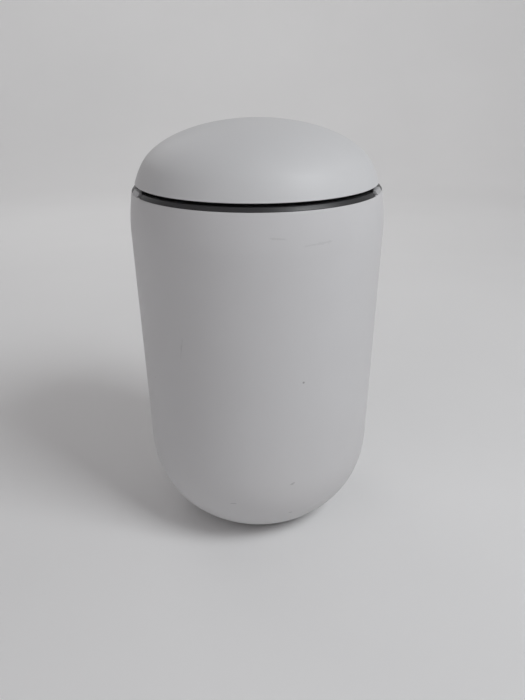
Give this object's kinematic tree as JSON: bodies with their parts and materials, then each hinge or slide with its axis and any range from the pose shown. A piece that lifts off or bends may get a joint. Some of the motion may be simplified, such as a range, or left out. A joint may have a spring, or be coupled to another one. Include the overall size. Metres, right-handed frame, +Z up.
{
  "type": "trash compactor",
  "caption": "Capsule-shaped household trash compactor: white bin body with dark rim, hinged dome lid, a motor-driven telescopic ram in the lid and a lift-out bucket.",
  "frame": {"origin": "floor level under the centre of the body", "axes": "+Z up, front towards -Y, +X to the right as seen from the front"},
  "size_m": [0.3287, 0.3288, 0.5539],
  "materials": {
    "white_body": "smooth satin white, a faint scuff here and there",
    "white_lid": "smooth satin white",
    "dark_rim": "fine-grained satin black",
    "grey_lock": "satin light grey",
    "painted_steel": "grey powder coat",
    "black_steel": "blackened steel",
    "steel": "zinc plated or ground steel",
    "brass": "machined",
    "gear_plastic": "natural acetal",
    "rubber": "matt black",
    "black_plastic": "fine-grained black",
    "filter_carbon": "black carbon felt in a frame",
    "board_green": "solder mask",
    "bucket_grey": "moulded polypropylene",
    "cast_aluminium": "bead-blasted casting"
  },
  "bodies": {
    "housing": {"outer_shell": "white_body", "filter_cover": "white_body", "rim_ring": "dark_rim", "hinge_brackets": "dark_rim", "base_plate": "painted_steel", "platform": "painted_steel", "platform_legs": "painted_steel", "base_screws": "steel", "tie_rods": "steel", "tie_rod_nuts": "steel", "power_supply": "steel", "hinge_pin": "steel", "hinge_spring": "steel", "bucket_handle": "steel", "board_standoffs": "brass", "rubber_feet": "rubber", "wiring_harness": "rubber", "mains_inlet": "black_plastic", "switch_bezel": "black_plastic", "fan_housing": "black_plastic", "lock_solenoids": "black_plastic", "lid_sensor": "black_plastic", "filter_cassette": "filter_carbon", "control_board": "board_green", "bucket": "bucket_grey", "bag_ring": "bucket_grey"},
    "power_rocker": {"power_rocker": "black_plastic"},
    "fan": {"fan_impeller": "black_plastic"},
    "lock_right": {"lock_slider_right": "grey_lock"},
    "lock_left": {"lock_slider_left": "grey_lock"},
    "lid": {"lid_shell": "white_lid", "lid_inner_cover": "bucket_grey", "lid_frame": "painted_steel", "lid_gasket": "rubber", "lid_hinge_arm": "dark_rim", "lid_screws": "steel", "lid_keepers": "black_steel", "lid_magnet": "steel", "lid_wiring": "rubber", "drive_columns": "steel", "drive_plate": "painted_steel", "drive_motor": "steel", "spindle_bearing": "brass", "idler_pin": "steel", "fixed_tube": "steel"},
    "pinion": {"motor_pinion": "brass"},
    "idler": {"idler_gear": "gear_plastic"},
    "spindle": {"spindle_gear": "gear_plastic", "spindle": "steel"},
    "stage_one": {"stage_one_tube": "steel"},
    "stage_two": {"stage_two_tube": "steel"},
    "ram": {"ram_tube": "steel", "press_plate": "cast_aluminium", "plate_wiper": "rubber"}
  },
  "joints": [
    {"name": "lid_hinge", "type": "hinge", "parent": "housing", "child": "lid", "pos_m": [0, 0.1545, 0.4742], "axis": [-1, 0, 0], "range_deg": [0, 95]},
    {"name": "ram_extend", "type": "slide", "parent": "lid", "child": "ram", "axis": [0, 0, -1], "range_m": [0, 0.144]},
    {"name": "stage_two_extend", "type": "slide", "parent": "lid", "child": "stage_two", "axis": [0, 0, -1], "range_m": [0, 0.0961]},
    {"name": "stage_one_extend", "type": "slide", "parent": "lid", "child": "stage_one", "axis": [0, 0, -1], "range_m": [0, 0.0481]},
    {"name": "spindle_turn", "type": "hinge", "parent": "lid", "child": "spindle", "pos_m": [0, 0, 0.53], "axis": [0, 0, 1], "range_deg": [0, 1441]},
    {"name": "idler_turn", "type": "hinge", "parent": "lid", "child": "idler", "pos_m": [0.042, 0, 0.53], "axis": [0, 0, 1], "range_deg": [-1921, 0]},
    {"name": "pinion_turn", "type": "hinge", "parent": "lid", "child": "pinion", "pos_m": [0.0705, 0, 0.53], "axis": [0, 0, 1], "range_deg": [0, 3293]},
    {"name": "lock_right_slide", "type": "slide", "parent": "housing", "child": "lock_right", "axis": [-0.3322, -0.9432, 0], "range_m": [0, 0.007], "stiffness_N_per_m": 60},
    {"name": "lock_left_slide", "type": "slide", "parent": "housing", "child": "lock_left", "axis": [0.3322, -0.9432, 0], "range_m": [0, 0.0071]},
    {"name": "power_switch", "type": "hinge", "parent": "housing", "child": "power_rocker", "pos_m": [0.05769, 0.14279, 0.135], "axis": [-0.9272, 0.3746, 0], "range_deg": [-16, 0]},
    {"name": "fan_spin", "type": "hinge", "parent": "housing", "child": "fan", "pos_m": [0, 0.14, 0.122], "axis": [0, 1, 0], "continuous": true}
  ],
  "couplings": [
    {"joint": "stage_two_extend", "follows": "ram_extend", "ratio": 0.66667},
    {"joint": "stage_one_extend", "follows": "ram_extend", "ratio": 0.33333},
    {"joint": "spindle_turn", "follows": "ram_extend", "rad_per_m": 174.53},
    {"joint": "idler_turn", "follows": "ram_extend", "rad_per_m": -232.71},
    {"joint": "pinion_turn", "follows": "ram_extend", "rad_per_m": 398.93},
    {"joint": "lock_left_slide", "follows": "lock_right_slide", "ratio": 1}
  ]
}
